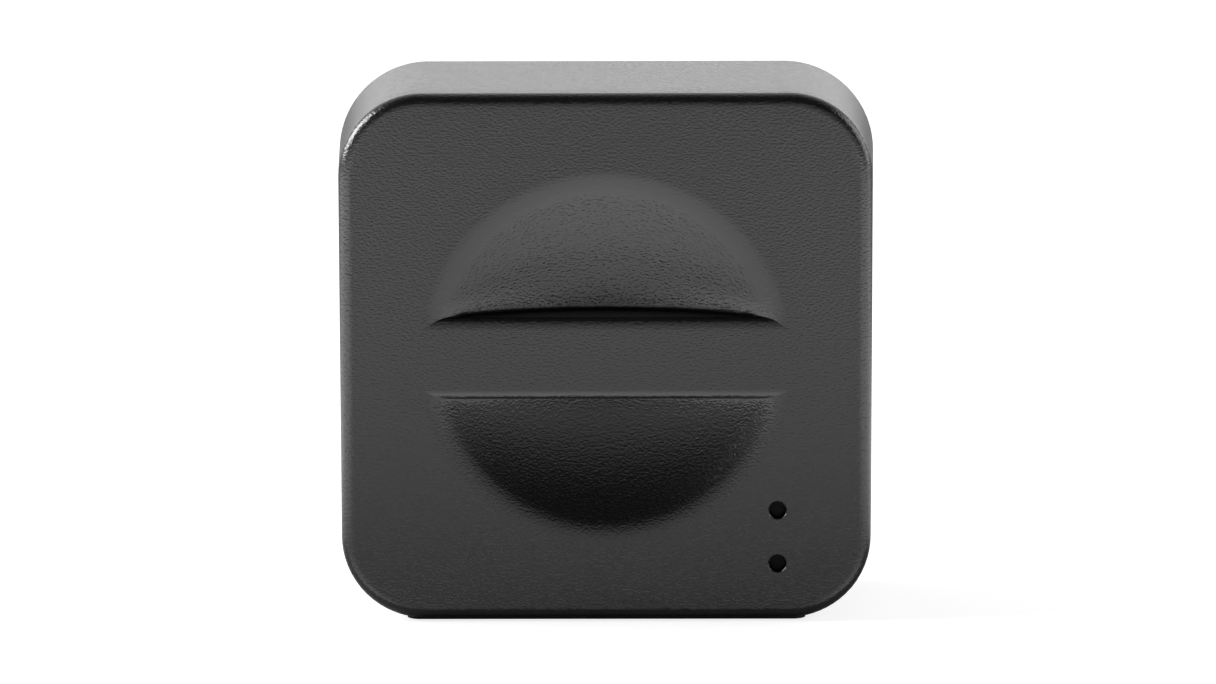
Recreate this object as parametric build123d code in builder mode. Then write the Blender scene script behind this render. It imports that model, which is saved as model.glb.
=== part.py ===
from build123d import *
from math import atan2, degrees, radians, sqrt, tan
import os

# A smart home gateway: a rounded-square moulded box that stands on its bottom side, with a bowl and bar relief
# on its front face, two indicator lights, and its sockets and reset button on the rear cover.
# Millimetres. X is to the right seen from the front, Y runs from the front face to the rear, Z is up.
# The origin is on the ground, under the middle of the box.

# Housing
face_width = 80.0
face_height = 80.0
housing_depth = 32.0
corner_radius = 12.5
front_edge_radius = 2.0
draft_angle = 2.6
wall = 2.2
overrun = 1.0

# Relief on the front face: a spherical bowl with a rolled rim, crossed by a bar that is flush with the face
bowl_depth = 8.8
bowl_sphere_radius = 44.0
rim_roll_radius = 7.0
bar_height = 12.6
bar_edge_radius = 1.5

# Indicator lights, placed from the right edge and the bottom edge of the face
light_hole_diameter = 2.6
light_pitch = 8.2
light_from_right = 14.1
light_from_bottom = 8.6
light_pin_clearance = 0.15
light_pin_recess = 1.2
light_bridge_thickness = 1.2
light_bridge_margin = 2.0
led_length = 1.6
led_width = 1.2
led_height = 0.7
led_gap = 0.3

# Rubber strip under the box
foot_proud = 0.4
foot_recess = 0.6
foot_setback = 2.1
foot_rear_setback = 5.9
foot_side_inset = 9.7
foot_corner_radius = 2.0
foot_clearance = 0.1

# Rear cover, let into the housing's rim
cover_thickness = 2.4
cover_rim_lip = 1.0
cover_clearance = 0.15
cover_edge_bevel = 0.4
locating_rib_thickness = 1.2
locating_rib_height = 2.0
locating_rib_gap = 3.0

# Screws of the rear cover and their bosses
boss_inset = 7.4
boss_diameter = 6.4
boss_web_thickness = 1.4
cover_screw_shank = 2.3
cover_screw_head = 4.4
cover_screw_head_height = 1.3
cover_screw_length = 9.0
screw_hole_clearance = 0.3
screw_pilot_clearance = 0.05
counterbore_clearance = 0.4
counterbore_depth = 1.5
screw_end_room = 1.0
head_bevel_share = 0.35
cross_length_share = 0.5
cross_width_share = 0.14
cross_depth_share = 0.5

# Circuit board, behind the bowl
board_thickness = 1.6
board_gap = 2.0
board_clearance = 0.6
board_notch_clearance = 0.8
post_diameter = 5.0
post_side_inset = 7.4
post_rise = 13.0
board_screw_shank = 2.0
board_screw_head = 3.8
board_screw_head_height = 1.2
board_screw_length = 7.0

# Vents in the rear cover
vent_count = 11
vent_width = 1.8
vent_length = 18.0
vent_pitch = 4.4
vent_rise = 16.0

# Network socket, upright on the board, with its mouth in the rear cover
jack_x = -13.0
jack_drop = 21.0
jack_width = 16.0
jack_height = 13.6
jack_corner_radius = 0.5
jack_mouth_inset = 0.6
jack_opening_clearance = 0.25
jack_sheet = 0.3
jack_fit = 0.05
plug_width = 11.9
plug_height = 6.9
plug_base = 4.3
plug_floor = 3.0
latch_width = 6.2
latch_height = 1.5
latch_step_width = 3.4
latch_step_height = 1.1
contact_count = 8
contact_pitch = 1.02
contact_width = 0.45
contact_thickness = 0.3
contact_slot_clearance = 0.09
contact_bend = 1.0
contact_reach = 1.3
contact_setback = 1.4
contact_end_gap = 2.8
shield_tab_width = 3.0
shield_tab_length = 5.0
shield_tab_rise = 0.2

# Power socket, on a riser, with its mouth at the bottom of a pocket in the rear cover
usb_x = 8.0
usb_drop = 21.0
usb_width = 8.94
usb_height = 3.16
usb_sheet = 0.3
usb_mouth_length = 6.6
usb_base_length = 1.5
usb_mouth_inset = 0.4
usb_tongue_width = 6.7
usb_tongue_thickness = 0.7
usb_tongue_length = 4.6
usb_contact_count = 12
usb_contact_pitch = 0.5
usb_contact_width = 0.25
usb_contact_thickness = 0.05
usb_contact_length = 3.6
usb_riser_margin = 0.7
usb_opening_clearance = 0.2
usb_pocket_width = 14.0
usb_pocket_height = 8.4
usb_pocket_depth = 3.2
usb_pocket_radius = 2.2
usb_pocket_wall = 1.4

# Reset button: a tall push switch on the board with a moulded cap behind a hole in the rear cover
reset_x = 22.0
reset_drop = 21.0
reset_travel = 0.5
switch_side = 6.0
switch_height = 3.4
switch_frame_sheet = 0.3
switch_bore_clearance = 0.15
switch_bore_depth = 1.8
plunger_diameter = 3.4
plunger_end_room = 0.3
button_diameter = 5.0
button_flange_diameter = 7.0
button_flange_thickness = 0.8
button_flange_gap = 0.3
button_skirt_length = 1.7
button_socket_depth = 3.0
button_fit = 0.03
button_edge_bevel = 0.35
button_hole_clearance = 0.3
button_recess = 0.5

# Parts on the rear side of the board, placed from the middle of the face
processor_side = 14.0
processor_height = 1.2
processor_rise = 3.0
thermal_pad_thickness = 0.8
heat_sink_side = 20.0
heat_sink_base = 1.5
heat_sink_fin_height = 4.5
heat_sink_fin_thickness = 1.0
heat_sink_fin_count = 7
memory_width = 8.0
memory_length = 12.5
memory_height = 1.0
memory_x = -20.0
memory_rise = 3.0
transformer_width = 7.2
transformer_length = 12.6
transformer_height = 5.4
transformer_bevel = 0.6
transformer_gap = 1.6
radio_board_width = 18.0
radio_board_length = 16.0
radio_board_thickness = 0.8
radio_board_corner = 0.6
radio_rise_share = 0.325
radio_can_width = 14.0
radio_can_length = 12.0
radio_can_height = 2.2
radio_can_sheet = 0.3
radio_can_radius = 0.6
radio_chip_side = 6.0
radio_chip_height = 0.9
antenna_length = 12.0
antenna_height = 5.5
antenna_sheet = 0.4
antenna_arm_width = 3.2
antenna_leg_width = 1.6
antenna_leg_spacing = 4.0
antenna_from_side = 17.6
antenna_from_top = 7.0
crystal_length = 10.8
crystal_width = 4.5
crystal_height = 3.4
crystal_base = 0.5
crystal_base_lip = 0.4
crystal_edge_bevel = 0.4
crystal_x = -20.0
crystal_rise = -7.0
capacitor_diameter = 6.3
capacitor_height = 7.7
capacitor_base = 1.0
capacitor_base_margin = 0.3
capacitor_bevel = 0.35
capacitor_pitch = 8.0
capacitor_x = 20.0
capacitor_rise = 6.0
inductor_side = 7.0
inductor_height = 4.0
inductor_bevel = 0.8
inductor_x = 20.0
inductor_rise = -8.0
chip_part_length = 1.6
chip_part_width = 0.8
chip_part_height = 0.5
chip_part_pitch_x = 3.0
chip_part_pitch_z = 2.2
chip_part_columns = 4
chip_part_rows = 3
chip_part_x = 4.0
chip_part_rise = -12.0
header_pin_count = 4
header_pitch = 2.54
header_pin_side = 0.64
header_pin_height = 8.5
header_block_height = 2.5
header_edge_gap = 3.2
header_rise = 0.0

# Worked out from the sizes above
front_y = -housing_depth / 2
face_centre_z = foot_proud + face_height / 2
draft_slope = tan(radians(draft_angle))
sphere_centre_depth = bowl_depth - bowl_sphere_radius
rim_outer_radius = sqrt(
    (bowl_sphere_radius + rim_roll_radius) ** 2 - (rim_roll_radius - sphere_centre_depth) ** 2
)
rim_tangent_share = bowl_sphere_radius / (bowl_sphere_radius + rim_roll_radius)
rim_tangent = (
    rim_outer_radius * rim_tangent_share,
    sphere_centre_depth + (rim_roll_radius - sphere_centre_depth) * rim_tangent_share,
)
board_front = bowl_depth + wall + board_gap
board_rear = board_front + board_thickness
cover_front = housing_depth - cover_thickness
foot_width = face_width - 2 * foot_side_inset
foot_depth = housing_depth - foot_setback - foot_rear_setback
foot_y = front_y + foot_setback + foot_depth / 2
light_x = face_width / 2 - light_from_right
light_z = foot_proud + light_from_bottom + light_pitch / 2
light_places = [(light_x, light_z - light_pitch / 2), (light_x, light_z + light_pitch / 2)]
corners = [(-1, -1), (-1, 1), (1, -1), (1, 1)]
cover_pilot_depth = cover_screw_length - (cover_thickness - counterbore_depth) + screw_end_room
board_pilot_depth = board_screw_length - board_thickness + screw_end_room
jack_z = face_centre_z - jack_drop
jack_mouth = housing_depth - jack_mouth_inset
plug_floor_z = jack_z - jack_height / 2 + plug_floor
plug_depth = jack_mouth - jack_sheet - board_rear - plug_base
contact_slot_depth = contact_bend + contact_thickness
contact_end_y = front_y + board_rear + plug_base + contact_end_gap
contact_places = [
    (jack_x + (index - (contact_count - 1) / 2) * contact_pitch, plug_floor_z)
    for index in range(contact_count)
]
usb_z = face_centre_z - usb_drop
usb_mouth = housing_depth - usb_pocket_depth - usb_mouth_inset
usb_seat = usb_mouth - usb_mouth_length - usb_base_length
reset_z = face_centre_z - reset_drop
button_face = housing_depth - button_recess
button_flange = cover_front - button_flange_gap - button_flange_thickness
button_skirt = button_flange - button_skirt_length
plunger_tip = button_skirt + button_socket_depth
plunger_foot = board_rear + switch_height - switch_bore_depth + reset_travel + plunger_end_room
header_x = face_width / 2 + board_front * draft_slope - wall - board_clearance - header_edge_gap
processor_z = face_centre_z + processor_rise
memory_z = face_centre_z + memory_rise
radio_z = face_centre_z + face_height * radio_rise_share
antenna_x = face_width / 2 - antenna_from_side
antenna_z = face_centre_z + face_height / 2 - antenna_from_top


def boss_place(side, level):
    """The middle of a corner boss: side is -1 at the left and 1 at the right, level is -1 below and 1 above."""
    x = side * (face_width / 2 - boss_inset)
    return (x, face_centre_z + level * (face_height / 2 - boss_inset))


def post_place(side, level):
    """The middle of a board post beside the bowl."""
    return (side * (face_width / 2 - post_side_inset), face_centre_z + level * post_rise)


boss_places = [boss_place(side, level) for side, level in corners]
post_places = [post_place(side, level) for side, level in corners]


def facing(depth):
    """The upright plane at a depth behind the front face. Its x is to the right, its y up, its normal forwards."""
    return Plane.XZ.offset(-(front_y + depth))


def drafted_outline(depth, inset):
    """The rounded outline of the drafted moulding at a depth, drawn in by inset."""
    spread = depth * draft_slope - inset
    with BuildSketch(facing(depth)) as outline:
        with Locations((0, face_centre_z)):
            RectangleRounded(face_width + 2 * spread, face_height + 2 * spread, corner_radius + spread)
    return outline.sketch


def housing_outline(depth, inset):
    """The drafted outline with its bottom side cut level, so that the box stands on a flat."""
    with BuildSketch(facing(depth)) as outline:
        add(drafted_outline(depth, inset))
        with Locations((0, foot_proud + inset)):
            Rectangle(2 * face_width, face_height, align=(Align.CENTER, Align.MAX), mode=Mode.SUBTRACT)
    return outline.sketch


def finish(piece, name):
    """Names a finished piece and writes it to its own file."""
    piece.part.label = name
    export_step(piece.part, f"parts/{name}.step")


os.makedirs("parts", exist_ok=True)

# Front shell. The hollow of the moulding keeps one wall behind the bowl and runs up inside the bar.
with BuildPart() as cavity:
    extrude(drafted_outline(wall, wall), amount=wall - housing_depth - overrun, taper=-draft_angle)
    split(bisect_by=Plane.XY.offset(foot_proud + wall))
    with Locations((0, front_y + sphere_centre_depth, face_centre_z)):
        Sphere(bowl_sphere_radius + wall, mode=Mode.SUBTRACT)
    with BuildSketch(facing(wall)):
        with Locations((0, face_centre_z)):
            Rectangle(2 * rim_outer_radius, bar_height - 2 * wall)
    extrude(amount=-bowl_depth)

# Screw bosses in the corners, each with a web to the corner, trimmed so that they run into the walls
boss_start = wall / 2
with BuildPart() as bosses:
    with BuildSketch(facing(boss_start)):
        for side, level in corners:
            with Locations(boss_place(side, level)):
                Circle(boss_diameter / 2)
                Rectangle(
                    boss_inset,
                    boss_web_thickness,
                    rotation=degrees(atan2(level, side)),
                    align=(Align.MIN, Align.CENTER),
                )
    extrude(amount=boss_start - cover_front)
    extrude(
        drafted_outline(boss_start, boss_start),
        amount=boss_start - housing_depth,
        taper=-draft_angle,
        mode=Mode.INTERSECT,
    )
    split(bisect_by=Plane.XY.offset(foot_proud + boss_start))

with BuildPart() as front_shell:
    extrude(drafted_outline(0, 0), amount=-housing_depth, taper=-draft_angle)
    fillet(front_shell.faces().sort_by(Axis.Y)[0].edges(), radius=front_edge_radius)
    split(bisect_by=Plane.XY.offset(foot_proud))
    # The bowl is part of a sphere. Its rim is turned round the bowl's axis and rolls over into the face.
    with Locations((0, front_y + sphere_centre_depth, face_centre_z)):
        Sphere(bowl_sphere_radius, mode=Mode.SUBTRACT)
    with BuildSketch(Plane(origin=(0, front_y, face_centre_z))):
        with BuildLine():
            Polyline(rim_tangent, (rim_tangent[0], -overrun), (rim_outer_radius, -overrun), (rim_outer_radius, 0))
            RadiusArc((rim_outer_radius, 0), rim_tangent, rim_roll_radius)
        make_face()
    revolve(axis=Axis((0, front_y, face_centre_z), (0, 1, 0)), mode=Mode.SUBTRACT)
    # The bar crosses the bowl level with the face. Its rounded edges fade out in the rim at both ends.
    bar_reach = rim_outer_radius + overrun
    bar_depth = bowl_depth + wall / 2
    with BuildSketch(Plane.YZ.offset(-bar_reach)) as bar_section:
        with Locations((front_y + bar_depth / 2, face_centre_z)):
            Rectangle(bar_depth, bar_height)
        fillet(bar_section.vertices().group_by(Axis.X)[0], radius=bar_edge_radius)
    extrude(amount=2 * bar_reach)
    add(cavity.part, mode=Mode.SUBTRACT)
    add(bosses.part)
    # Posts for the circuit board
    with BuildSketch(facing(boss_start)):
        with Locations(*post_places):
            Circle(post_diameter / 2)
    extrude(amount=boss_start - board_front)
    # Rebate for the rear cover
    extrude(housing_outline(housing_depth, cover_rim_lip), amount=cover_thickness, mode=Mode.SUBTRACT)
    # Pilot holes for the screws
    with BuildSketch(facing(cover_front)):
        with Locations(*boss_places):
            Circle(cover_screw_shank / 2 + screw_pilot_clearance)
    extrude(amount=cover_pilot_depth, mode=Mode.SUBTRACT)
    with BuildSketch(facing(board_front)):
        with Locations(*post_places):
            Circle(board_screw_shank / 2 + screw_pilot_clearance)
    extrude(amount=board_pilot_depth, mode=Mode.SUBTRACT)
    # Holes for the indicator lights
    with BuildSketch(facing(0)):
        with Locations(*light_places):
            Circle(light_hole_diameter / 2)
    extrude(amount=-wall, mode=Mode.SUBTRACT)
    # Recess for the rubber strip
    with BuildSketch(Plane.XY):
        with Locations((0, foot_y)):
            RectangleRounded(
                foot_width + 2 * foot_clearance,
                foot_depth + 2 * foot_clearance,
                foot_corner_radius + foot_clearance,
            )
    extrude(amount=foot_proud + foot_recess, mode=Mode.SUBTRACT)
finish(front_shell, "front_shell")

# Rubber strip, moulded flat and glued into its recess
with BuildPart() as foot_strip:
    with BuildSketch(Plane.XY):
        with Locations((0, foot_y)):
            RectangleRounded(foot_width, foot_depth, foot_corner_radius)
    extrude(amount=foot_proud + foot_recess)
finish(foot_strip, "foot_strip")

# Light guide: two clear pins on a bridge that lies against the inside of the face
with BuildPart() as light_guide:
    with BuildSketch(facing(light_pin_recess)):
        with Locations(*light_places):
            Circle(light_hole_diameter / 2 - light_pin_clearance)
    extrude(amount=light_pin_recess - (board_front - led_height - led_gap))
    with BuildSketch(facing(wall)):
        with Locations((light_x, light_z)):
            Rectangle(
                light_hole_diameter + 2 * light_bridge_margin,
                light_pitch + light_hole_diameter + 2 * light_bridge_margin,
            )
    extrude(amount=-light_bridge_thickness)
finish(light_guide, "light_guide")

# Rear cover: a plate in the rebate, with a locating rib that stops short of the bosses
with BuildPart() as rear_cover:
    extrude(housing_outline(housing_depth, cover_rim_lip + cover_clearance), amount=cover_thickness)
    chamfer(rear_cover.faces().sort_by(Axis.Y)[-1].edges(), length=cover_edge_bevel)
    rib_inset = wall + cover_clearance
    extrude(housing_outline(cover_front, rib_inset), amount=locating_rib_height)
    extrude(
        housing_outline(cover_front, rib_inset + locating_rib_thickness),
        amount=locating_rib_height,
        mode=Mode.SUBTRACT,
    )
    with BuildSketch(facing(cover_front)):
        with Locations(*boss_places):
            Circle(boss_diameter / 2 + locating_rib_gap)
    extrude(amount=locating_rib_height, mode=Mode.SUBTRACT)
    # Pocket round the power socket, with its own walls inside
    with BuildSketch(facing(cover_front)):
        with Locations((usb_x, usb_z)):
            RectangleRounded(
                usb_pocket_width + 2 * usb_pocket_wall,
                usb_pocket_height + 2 * usb_pocket_wall,
                usb_pocket_radius + usb_pocket_wall,
            )
    extrude(amount=usb_pocket_depth + usb_pocket_wall - cover_thickness)
    with BuildSketch(facing(housing_depth)):
        with Locations((usb_x, usb_z)):
            RectangleRounded(usb_pocket_width, usb_pocket_height, usb_pocket_radius)
    extrude(amount=usb_pocket_depth, mode=Mode.SUBTRACT)
    with BuildSketch(facing(housing_depth)):
        with Locations((usb_x, usb_z)):
            SlotOverall(usb_width + 2 * usb_opening_clearance, usb_height + 2 * usb_opening_clearance)
    extrude(amount=usb_pocket_depth + usb_pocket_wall, mode=Mode.SUBTRACT)
    # Openings for the network socket and the reset button, and the vents
    with BuildSketch(facing(housing_depth)):
        with Locations((jack_x, jack_z)):
            RectangleRounded(
                jack_width + 2 * jack_opening_clearance,
                jack_height + 2 * jack_opening_clearance,
                jack_corner_radius + jack_opening_clearance,
            )
        with Locations((reset_x, reset_z)):
            Circle(button_diameter / 2 + button_hole_clearance)
        with Locations((0, face_centre_z + vent_rise)):
            with GridLocations(vent_pitch, vent_pitch, vent_count, 1):
                Rectangle(vent_width, vent_length)
    extrude(amount=cover_thickness, mode=Mode.SUBTRACT)
    # Counterbored screw holes
    with BuildSketch(facing(housing_depth)):
        with Locations(*boss_places):
            Circle(cover_screw_shank / 2 + screw_hole_clearance)
    extrude(amount=cover_thickness, mode=Mode.SUBTRACT)
    with BuildSketch(facing(housing_depth)):
        with Locations(*boss_places):
            Circle(cover_screw_head / 2 + counterbore_clearance)
    extrude(amount=counterbore_depth, mode=Mode.SUBTRACT)
finish(rear_cover, "rear_cover")


def pan_screws(places, seat, shank, length, head, head_height):
    """Pan-head screws driven in from the rear, with their heads on the plane at depth seat."""
    with BuildPart() as screws:
        with BuildSketch(facing(seat)):
            with Locations(*places):
                Circle(head / 2)
        extrude(amount=-head_height)
        chamfer(screws.faces().group_by(Axis.Y)[-1].edges(), length=head_height * head_bevel_share)
        with BuildSketch(facing(seat)):
            with Locations(*places):
                Circle(shank / 2)
        extrude(amount=length)
        with BuildSketch(facing(seat + head_height)):
            with Locations(*places):
                Rectangle(head * cross_length_share, head * cross_width_share)
                Rectangle(head * cross_width_share, head * cross_length_share)
        extrude(amount=head_height * cross_depth_share, mode=Mode.SUBTRACT)
    return screws


cover_screws = pan_screws(
    boss_places,
    housing_depth - counterbore_depth,
    cover_screw_shank,
    cover_screw_length,
    cover_screw_head,
    cover_screw_head_height,
)
finish(cover_screws, "cover_screws")

# Circuit board, notched round the corner bosses
with BuildPart() as main_board:
    extrude(housing_outline(board_front, wall + board_clearance), amount=-board_thickness)
    with BuildSketch(facing(board_front)):
        with Locations(*boss_places):
            Rectangle(boss_diameter + 2 * board_notch_clearance, boss_diameter + 2 * board_notch_clearance)
        with Locations(*post_places):
            Circle(board_screw_shank / 2 + screw_hole_clearance)
    extrude(amount=-board_thickness, mode=Mode.SUBTRACT)
finish(main_board, "main_board")

board_screws = pan_screws(
    post_places,
    board_rear,
    board_screw_shank,
    board_screw_length,
    board_screw_head,
    board_screw_head_height,
)
finish(board_screws, "board_screws")

# Indicator lights on the front side of the board, under the guide's pins
with BuildPart() as status_leds:
    with BuildSketch(facing(board_front)):
        with Locations(*light_places):
            Rectangle(led_width, led_length)
    extrude(amount=led_height)
finish(status_leds, "status_leds")


def plug_opening(depth):
    """The mouth of the network socket at a depth: the plug's outline with the two steps of its latch on top."""
    with BuildSketch(facing(depth)) as opening:
        with Locations((jack_x, plug_floor_z)):
            Rectangle(plug_width, plug_height, align=(Align.CENTER, Align.MIN))
            Rectangle(latch_width, plug_height + latch_height, align=(Align.CENTER, Align.MIN))
            Rectangle(
                latch_step_width,
                plug_height + latch_height + latch_step_height,
                align=(Align.CENTER, Align.MIN),
            )
    return opening.sketch


# Steel shield of the network socket: a folded box, open towards the board, with a spring tab on each side
with BuildPart() as ethernet_shield:
    with BuildSketch(facing(board_rear)):
        with Locations((jack_x, jack_z)):
            RectangleRounded(jack_width, jack_height, jack_corner_radius)
    extrude(amount=board_rear - jack_mouth)
    with BuildSketch(facing(board_rear)):
        with Locations((jack_x, jack_z)):
            Rectangle(jack_width - 2 * jack_sheet, jack_height - 2 * jack_sheet)
    extrude(amount=board_rear - jack_mouth + jack_sheet, mode=Mode.SUBTRACT)
    extrude(plug_opening(jack_mouth), amount=jack_sheet, mode=Mode.SUBTRACT)
    for side in (-1, 1):
        with BuildSketch(Plane.YZ.offset(jack_x + side * jack_width / 2)):
            with Locations((front_y + cover_front - shield_tab_length, jack_z)):
                Rectangle(shield_tab_length, shield_tab_width)
        extrude(amount=side * shield_tab_rise)
finish(ethernet_shield, "ethernet_shield")

# Plastic body of the network socket, with a slot for each contact in its floor
with BuildPart() as ethernet_housing:
    with BuildSketch(facing(board_rear)):
        with Locations((jack_x, jack_z)):
            Rectangle(
                jack_width - 2 * jack_sheet - 2 * jack_fit,
                jack_height - 2 * jack_sheet - 2 * jack_fit,
            )
    extrude(amount=board_rear - jack_mouth + jack_sheet)
    extrude(plug_opening(jack_mouth - jack_sheet), amount=plug_depth, mode=Mode.SUBTRACT)
    with BuildSketch(facing(board_rear)):
        with Locations(*contact_places):
            Rectangle(
                contact_width + 2 * contact_slot_clearance,
                contact_slot_depth,
                align=(Align.CENTER, Align.MAX),
            )
    extrude(amount=board_rear - jack_mouth + contact_setback, mode=Mode.SUBTRACT)
finish(ethernet_housing, "ethernet_housing")

# Contacts: each rises from the board along its slot, turns over near the mouth and springs back into the socket
with BuildPart() as ethernet_contacts:
    for x, floor in contact_places:
        low = floor - contact_slot_depth + contact_thickness / 2
        turn_y = front_y + jack_mouth - contact_setback - contact_thickness
        with BuildSketch(Plane.YZ.offset(x - contact_width / 2)):
            with BuildLine():
                Polyline(
                    (front_y + board_rear, low),
                    (turn_y, low),
                    (turn_y, low + contact_bend),
                    (contact_end_y, floor + contact_reach),
                )
            trace(line_width=contact_thickness)
        extrude(amount=contact_width)
finish(ethernet_contacts, "ethernet_contacts")

# Power socket: a drawn steel shell on a plastic riser
with BuildPart() as usb_riser:
    with BuildSketch(facing(board_rear)):
        with Locations((usb_x, usb_z)):
            Rectangle(usb_width + 2 * usb_riser_margin, usb_height + 2 * usb_riser_margin)
    extrude(amount=board_rear - usb_seat)
    chamfer(usb_riser.edges().filter_by(Axis.Y), length=usb_riser_margin)
finish(usb_riser, "usb_riser")

with BuildPart() as usb_shell:
    with BuildSketch(facing(usb_seat)):
        with Locations((usb_x, usb_z)):
            SlotOverall(usb_width, usb_height)
            SlotOverall(usb_width - 2 * usb_sheet, usb_height - 2 * usb_sheet, mode=Mode.SUBTRACT)
    extrude(amount=usb_seat - usb_mouth)
finish(usb_shell, "usb_shell")

with BuildPart() as usb_tongue:
    with BuildSketch(facing(usb_seat)):
        with Locations((usb_x, usb_z)):
            SlotOverall(usb_width - 2 * usb_sheet - 2 * jack_fit, usb_height - 2 * usb_sheet - 2 * jack_fit)
    extrude(amount=-usb_base_length)
    with BuildSketch(facing(usb_seat + usb_base_length)):
        with Locations((usb_x, usb_z)):
            Rectangle(usb_tongue_width, usb_tongue_thickness)
    extrude(amount=-usb_tongue_length)
finish(usb_tongue, "usb_tongue")

with BuildPart() as usb_contacts:
    for face in (-1, 1):
        level = usb_z + face * (usb_tongue_thickness + usb_contact_thickness) / 2
        with BuildSketch(facing(usb_seat + usb_base_length)):
            with Locations((usb_x, level)):
                with GridLocations(usb_contact_pitch, usb_contact_pitch, usb_contact_count, 1):
                    Rectangle(usb_contact_width, usb_contact_thickness)
        extrude(amount=-usb_contact_length)
finish(usb_contacts, "usb_contacts")

# Reset switch: a tall push switch with a steel frame, whose stem carries the moulded cap
with BuildPart() as reset_switch_body:
    with BuildSketch(facing(board_rear)):
        with Locations((reset_x, reset_z)):
            Rectangle(switch_side, switch_side)
    extrude(amount=-switch_height)
    with BuildSketch(facing(board_rear + switch_height)):
        with Locations((reset_x, reset_z)):
            Circle(plunger_diameter / 2 + switch_bore_clearance)
    extrude(amount=switch_bore_depth, mode=Mode.SUBTRACT)
finish(reset_switch_body, "reset_switch_body")

with BuildPart() as reset_switch_frame:
    with BuildSketch(facing(board_rear + switch_height)):
        with Locations((reset_x, reset_z)):
            Rectangle(switch_side, switch_side)
            Circle(plunger_diameter / 2 + switch_bore_clearance, mode=Mode.SUBTRACT)
    extrude(amount=-switch_frame_sheet)
finish(reset_switch_frame, "reset_switch_frame")

with BuildPart() as reset_plunger:
    with BuildSketch(facing(plunger_foot)):
        with Locations((reset_x, reset_z)):
            Circle(plunger_diameter / 2)
    extrude(amount=plunger_foot - plunger_tip)
finish(reset_plunger, "reset_plunger")

with BuildPart() as reset_button:
    with BuildSketch(facing(button_skirt)):
        with Locations((reset_x, reset_z)):
            Circle(button_diameter / 2)
    extrude(amount=button_skirt - button_face)
    chamfer(reset_button.faces().sort_by(Axis.Y)[-1].edges(), length=button_edge_bevel)
    with BuildSketch(facing(button_flange)):
        with Locations((reset_x, reset_z)):
            Circle(button_flange_diameter / 2)
    extrude(amount=-button_flange_thickness)
    with BuildSketch(facing(button_skirt)):
        with Locations((reset_x, reset_z)):
            Circle(plunger_diameter / 2 + button_fit)
    extrude(amount=-button_socket_depth, mode=Mode.SUBTRACT)
finish(reset_button, "reset_button")


def block(x, z, width, height, start, thickness):
    """A plain chip or pad, width by height, with its foot at depth start."""
    with BuildPart() as piece:
        with BuildSketch(facing(start)):
            with Locations((x, z)):
                Rectangle(width, height)
        extrude(amount=-thickness)
    return piece


processor = block(0, processor_z, processor_side, processor_side, board_rear, processor_height)
finish(processor, "processor")

pad_start = board_rear + processor_height
thermal_pad = block(0, processor_z, processor_side, processor_side, pad_start, thermal_pad_thickness)
finish(thermal_pad, "thermal_pad")

memory_chip = block(memory_x, memory_z, memory_width, memory_length, board_rear, memory_height)
finish(memory_chip, "memory_chip")

# Heat sink: an extruded plate with upright fins
sink_start = pad_start + thermal_pad_thickness
fin_pitch = (heat_sink_side - heat_sink_fin_thickness) / (heat_sink_fin_count - 1)
with BuildPart() as heat_sink:
    with BuildSketch(facing(sink_start)):
        with Locations((0, processor_z)):
            Rectangle(heat_sink_side, heat_sink_side)
    extrude(amount=-heat_sink_base)
    with BuildSketch(facing(sink_start + heat_sink_base)):
        with Locations((0, processor_z)):
            with GridLocations(fin_pitch, fin_pitch, heat_sink_fin_count, 1):
                Rectangle(heat_sink_fin_thickness, heat_sink_side)
    extrude(amount=-heat_sink_fin_height)
finish(heat_sink, "heat_sink")

# Transformer block of the network line, beside its socket
with BuildPart() as network_transformer:
    with BuildSketch(facing(board_rear)):
        with Locations((jack_x - jack_width / 2 - transformer_gap - transformer_width / 2, jack_z)):
            Rectangle(transformer_width, transformer_length)
    extrude(amount=-transformer_height)
    chamfer(network_transformer.faces().sort_by(Axis.Y)[-1].edges(), length=transformer_bevel)
finish(network_transformer, "network_transformer")

# Radio module: a small board, its chip, and a tinned can over the chip
with BuildPart() as radio_board:
    with BuildSketch(facing(board_rear)):
        with Locations((0, radio_z)):
            RectangleRounded(radio_board_width, radio_board_length, radio_board_corner)
    extrude(amount=-radio_board_thickness)
finish(radio_board, "radio_board")

radio_top = board_rear + radio_board_thickness
radio_chip = block(0, radio_z, radio_chip_side, radio_chip_side, radio_top, radio_chip_height)
finish(radio_chip, "radio_chip")

with BuildPart() as radio_can:
    with BuildSketch(facing(radio_top)):
        with Locations((0, radio_z)):
            RectangleRounded(radio_can_width, radio_can_length, radio_can_radius)
    extrude(amount=-radio_can_height)
    offset(amount=-radio_can_sheet, openings=radio_can.faces().sort_by(Axis.Y)[0])
finish(radio_can, "radio_can")

# Two sheet-metal antennas: an arm held off the board by two legs
with BuildPart() as radio_antennas:
    for side in (-1, 1):
        with BuildSketch(facing(board_rear + antenna_height - antenna_sheet)):
            with Locations((side * antenna_x, antenna_z)):
                Rectangle(antenna_length, antenna_arm_width)
        extrude(amount=-antenna_sheet)
        first_leg = side * (antenna_x - (antenna_length - antenna_leg_width) / 2)
        leg_z = antenna_z - (antenna_arm_width - antenna_sheet) / 2
        with BuildSketch(facing(board_rear)):
            with Locations((first_leg, leg_z), (first_leg + side * antenna_leg_spacing, leg_z)):
                Rectangle(antenna_leg_width, antenna_sheet)
        extrude(amount=antenna_sheet - antenna_height)
finish(radio_antennas, "radio_antennas")

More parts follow.
